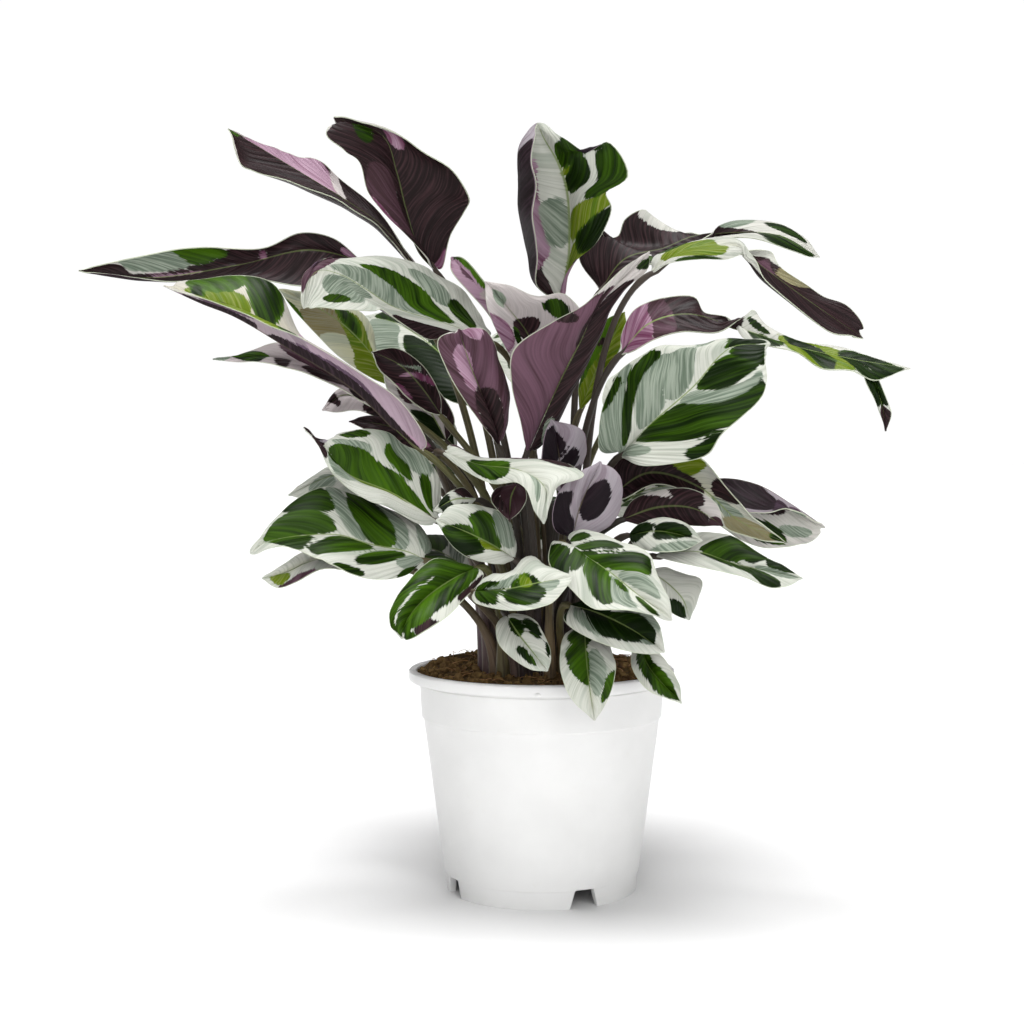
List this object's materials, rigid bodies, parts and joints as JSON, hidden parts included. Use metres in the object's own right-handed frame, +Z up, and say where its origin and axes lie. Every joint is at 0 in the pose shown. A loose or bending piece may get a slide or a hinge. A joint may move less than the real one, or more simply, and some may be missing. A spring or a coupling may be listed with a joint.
{
  "type": "potted calathea",
  "caption": "Calathea with white, sage and dark green leaves, purple below, on thin stalks from the soil of a round white plastic pot with a step and a notched foot.",
  "frame": {"origin": "under the middle of the whole plant's extent, on the surface that the pot stands on; the pot's own axis is upright through x = 0.029, y = -0.027", "axes": "+Z up; -Y is the side that the picture shows, and +X is to the right in it"},
  "size_m": [0.422, 0.2685, 0.405],
  "materials": {
    "pot_plastic": "injection-moulded polypropylene, satin white",
    "potting_soil": "loose brown peat and coir fibre, dry on top",
    "leaf": "living leaf, satin above in white, sage and dark green, plum to pink below"
  },
  "bodies": {
    "root": {"pot": "pot_plastic", "soil": "potting_soil", "leaf_far_left": "leaf", "leaf_top_left_rolled": "leaf", "leaf_top_left_dark": "leaf", "leaf_left_yellow": "leaf", "leaf_left_pink": "leaf", "leaf_left_curl": "leaf", "leaf_white_left": "leaf", "leaf_left_mid": "leaf", "leaf_left_low": "leaf", "leaf_left_behind": "leaf", "leaf_left_under": "leaf", "leaf_front_left": "leaf", "leaf_front_mid_left": "leaf", "leaf_front_white": "leaf", "leaf_front_white_curl": "leaf", "leaf_small_plum": "leaf", "leaf_small_left": "leaf", "leaf_centre_grey": "leaf", "leaf_centre_grey_low": "leaf", "leaf_front_right": "leaf", "leaf_front_dark": "leaf", "leaf_front_spotted": "leaf", "leaf_front_hanging": "leaf", "leaf_right_low": "leaf", "leaf_right_low_behind": "leaf", "leaf_big_right": "leaf", "leaf_right_brown": "leaf", "leaf_right_fan": "leaf", "leaf_right_pale": "leaf", "leaf_right_white": "leaf", "leaf_right_long": "leaf", "leaf_top_centre": "leaf", "leaf_top_right": "leaf", "leaf_right_arc": "leaf", "leaf_right_third": "leaf", "leaf_funnel_plum": "leaf", "leaf_centre_rim": "leaf", "leaf_funnel_left": "leaf", "leaf_pink_spear": "leaf", "leaf_centre_green": "leaf", "leaf_left_dark_behind": "leaf", "leaf_left_small_curl": "leaf", "leaf_left_dark_low": "leaf", "leaf_centre_dark": "leaf", "leaf_left_dark_mid": "leaf", "leaf_back_left_high": "leaf", "leaf_back_left_mid": "leaf", "leaf_back_left_low": "leaf", "leaf_back_centre_high": "leaf", "leaf_back_centre_low": "leaf", "leaf_back_right_high": "leaf", "leaf_back_right_mid": "leaf", "leaf_back_right_low": "leaf"}
  },
  "joints": []
}
